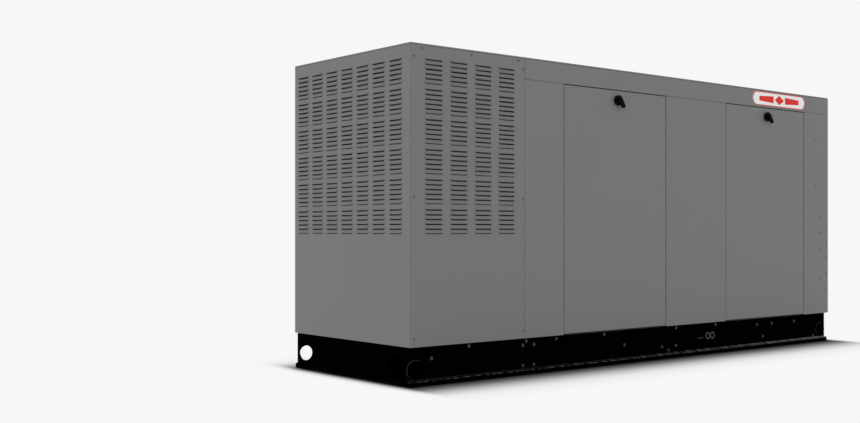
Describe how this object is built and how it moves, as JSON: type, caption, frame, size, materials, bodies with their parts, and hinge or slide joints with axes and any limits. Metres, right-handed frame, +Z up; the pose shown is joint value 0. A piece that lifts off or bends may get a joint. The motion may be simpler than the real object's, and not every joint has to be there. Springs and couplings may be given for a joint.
{
  "type": "standby generator",
  "caption": "Liquid-cooled gas standby generator set in a long steel cabinet with louvred discharge end, lift-off service doors and a welded steel base.",
  "frame": {"origin": "on the ground under the middle of the cabinet", "axes": "+X along the length towards the air intake end, +Y towards the rear side, +Z up"},
  "size_m": [2.849, 0.9446, 1.35],
  "materials": {
    "cabinet_paint": "satin fine-textured powder coat",
    "cabinet_screws": "satin",
    "inner_galvanised": "satin",
    "frame_paint": "satin",
    "base_paint": "satin",
    "base_fasteners": "satin",
    "port_steel": "satin",
    "badge_face": "gloss",
    "latch_black": "satin",
    "engine_iron": "matt",
    "engine_cover": "satin",
    "oil_pan_black": "satin",
    "air_cleaner_black": "matt",
    "muffler_steel": "satin",
    "radiator_black": "matt",
    "hose_rubber": "matt",
    "generator_paint": "satin",
    "rotor_steel": "satin",
    "cast_alloy": "satin",
    "pulley_steel": "satin",
    "fan_black": "satin",
    "fuel_yellow": "satin",
    "lever_yellow": "satin",
    "control_grey": "satin",
    "controller_black": "satin",
    "breaker_black": "satin",
    "stop_red": "gloss",
    "cap_steel": "satin",
    "dipstick_yellow": "gloss"
  },
  "bodies": {
    "cabinet": {"roof_panel": "cabinet_paint", "radiator_end_panel": "cabinet_paint", "intake_end_panel": "cabinet_paint", "side_louvre_panels": "cabinet_paint", "fixed_side_panels": "cabinet_paint", "panel_screws": "cabinet_screws", "cabinet_frame": "frame_paint", "radiator_bulkhead": "inner_galvanised", "intake_baffle": "inner_galvanised", "fan_shroud": "inner_galvanised", "base_rails": "base_paint", "base_cross_members": "base_paint", "base_floor_pan": "base_paint", "base_bolts": "base_fasteners", "service_ports": "port_steel", "badge": "badge_face", "engine_block": "engine_iron", "flywheel_housing": "engine_iron", "exhaust_manifolds": "engine_iron", "cylinder_heads": "engine_cover", "valve_covers": "engine_cover", "intake_manifold": "engine_cover", "oil_pan": "oil_pan_black", "air_cleaner": "air_cleaner_black", "battery": "air_cleaner_black", "muffler": "muffler_steel", "radiator": "radiator_black", "coolant_hoses": "hose_rubber", "isolator_mounts": "hose_rubber", "drive_belt": "hose_rubber", "generator_stator": "generator_paint", "charging_alternator": "cast_alloy", "fuel_train": "fuel_yellow", "control_box": "control_grey", "controller": "controller_black", "main_breaker": "breaker_black"},
    "door_front_left": {"door_front_left": "cabinet_paint", "latch_bezel_front_left": "latch_black"},
    "latch_front_left": {"latch_handle_front_left": "latch_black"},
    "door_front_right": {"door_front_right": "cabinet_paint", "latch_bezel_front_right": "latch_black"},
    "latch_front_right": {"latch_handle_front_right": "latch_black"},
    "door_rear_left": {"door_rear_left": "cabinet_paint", "latch_bezel_rear_left": "latch_black"},
    "latch_rear_left": {"latch_handle_rear_left": "latch_black"},
    "door_rear_right": {"door_rear_right": "cabinet_paint", "latch_bezel_rear_right": "latch_black"},
    "latch_rear_right": {"latch_handle_rear_right": "latch_black"},
    "crank_train": {"crankshaft": "rotor_steel", "crank_pulley": "pulley_steel", "generator_rotor": "rotor_steel"},
    "fan": {"cooling_fan": "fan_black"},
    "charging_pulley": {"charging_pulley": "pulley_steel"},
    "tensioner": {"belt_tensioner": "cast_alloy"},
    "breaker_handle": {"breaker_handle": "breaker_black"},
    "emergency_stop": {"emergency_stop": "stop_red"},
    "mode_switch": {"mode_switch": "controller_black"},
    "radiator_cap": {"radiator_cap": "cap_steel"},
    "oil_dipstick": {"oil_dipstick": "dipstick_yellow"},
    "fuel_valve_lever": {"fuel_valve_lever": "lever_yellow"}
  },
  "joints": [
    {"name": "door_front_left_tilt", "type": "hinge", "parent": "cabinet", "child": "door_front_left", "pos_m": [-0.265, -0.445, 0.161], "axis": [1, 0, 0], "range_deg": [0, 25]},
    {"name": "latch_front_left_turn", "type": "hinge", "parent": "door_front_left", "child": "latch_front_left", "pos_m": [-0.265, -0.45, 1.208], "axis": [0, -1, 0], "range_deg": [0, 90]},
    {"name": "door_front_right_tilt", "type": "hinge", "parent": "cabinet", "child": "door_front_right", "pos_m": [0.855, -0.445, 0.161], "axis": [1, 0, 0], "range_deg": [0, 25]},
    {"name": "latch_front_right_turn", "type": "hinge", "parent": "door_front_right", "child": "latch_front_right", "pos_m": [0.855, -0.45, 1.208], "axis": [0, -1, 0], "range_deg": [0, 90]},
    {"name": "door_rear_left_tilt", "type": "hinge", "parent": "cabinet", "child": "door_rear_left", "pos_m": [-0.265, 0.445, 0.161], "axis": [-1, 0, 0], "range_deg": [0, 25]},
    {"name": "latch_rear_left_turn", "type": "hinge", "parent": "door_rear_left", "child": "latch_rear_left", "pos_m": [-0.265, 0.45, 1.208], "axis": [0, -1, 0], "range_deg": [0, 90]},
    {"name": "door_rear_right_tilt", "type": "hinge", "parent": "cabinet", "child": "door_rear_right", "pos_m": [0.855, 0.445, 0.161], "axis": [-1, 0, 0], "range_deg": [0, 25]},
    {"name": "latch_rear_right_turn", "type": "hinge", "parent": "door_rear_right", "child": "latch_rear_right", "pos_m": [0.855, 0.45, 1.208], "axis": [0, -1, 0], "range_deg": [0, 90]},
    {"name": "crank_spin", "type": "hinge", "parent": "cabinet", "child": "crank_train", "pos_m": [-0.6, 0, 0.52], "axis": [1, 0, 0], "continuous": true},
    {"name": "fan_spin", "type": "hinge", "parent": "cabinet", "child": "fan", "pos_m": [-0.6, 0, 0.695], "axis": [1, 0, 0], "continuous": true},
    {"name": "charging_pulley_spin", "type": "hinge", "parent": "cabinet", "child": "charging_pulley", "pos_m": [-0.6, -0.215, 0.475], "axis": [1, 0, 0], "continuous": true},
    {"name": "tensioner_swing", "type": "hinge", "parent": "cabinet", "child": "tensioner", "pos_m": [-0.615, 0.098, 0.525], "axis": [-1, 0, 0], "range_deg": [0, 12], "stiffness_Nm_per_rad": 8, "springref_deg": -17.19},
    {"name": "breaker_throw", "type": "hinge", "parent": "cabinet", "child": "breaker_handle", "pos_m": [0.82, -0.321, 0.75], "axis": [1, 0, 0], "range_deg": [0, 36]},
    {"name": "emergency_stop_press", "type": "slide", "parent": "cabinet", "child": "emergency_stop", "axis": [0, 1, 0], "range_m": [0, 0.006]},
    {"name": "mode_switch_turn", "type": "hinge", "parent": "cabinet", "child": "mode_switch", "pos_m": [1.03, -0.295, 0.85], "axis": [0, 1, 0], "range_deg": [-45, 45]},
    {"name": "radiator_cap_turn", "type": "hinge", "parent": "cabinet", "child": "radiator_cap", "pos_m": [-0.79, 0.2, 1.1], "axis": [0, 0, 1], "range_deg": [0, 90]},
    {"name": "dipstick_pull", "type": "slide", "parent": "cabinet", "child": "oil_dipstick", "axis": [0, 0, 1], "range_m": [0, 0.23]},
    {"name": "fuel_valve_turn", "type": "hinge", "parent": "cabinet", "child": "fuel_valve_lever", "pos_m": [0.405, -0.345, 0.24], "axis": [0, 1, 0], "range_deg": [0, 90]}
  ],
  "couplings": [
    {"joint": "fan_spin", "follows": "crank_spin", "ratio": 1.3077},
    {"joint": "charging_pulley_spin", "follows": "crank_spin", "ratio": 2.6562}
  ]
}
